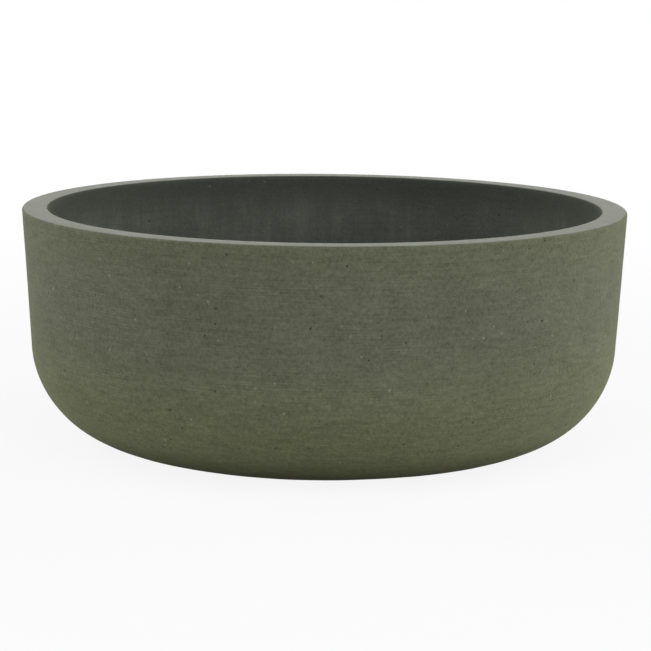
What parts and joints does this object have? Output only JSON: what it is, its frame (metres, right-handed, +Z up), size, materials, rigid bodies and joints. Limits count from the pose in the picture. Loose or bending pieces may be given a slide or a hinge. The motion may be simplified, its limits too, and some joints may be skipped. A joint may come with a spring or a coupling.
{
  "type": "concrete bowl planter",
  "caption": "Low, wide cast concrete bowl for plants, with a leaning wall, a wide round corner, a flat rim, and a drain hole closed by a lift-out rubber plug.",
  "frame": {"origin": "centre of the face that the bowl stands on, on the bowl's own axis", "axes": "+Z up along the bowl's axis; the bowl is round, so X and Y follow the picture's view: the viewer looks along +Y, with +X to the right"},
  "size_m": [0.3998, 0.3998, 0.155],
  "materials": {
    "concrete": "matte",
    "plug_rubber": "matte"
  },
  "bodies": {
    "bowl": {"bowl": "concrete"},
    "plug": {"drain_plug": "plug_rubber"}
  },
  "joints": [
    {"name": "plug_lift", "type": "slide", "parent": "bowl", "child": "plug", "axis": [0, 0, 1], "range_m": [0, 0.16]}
  ]
}
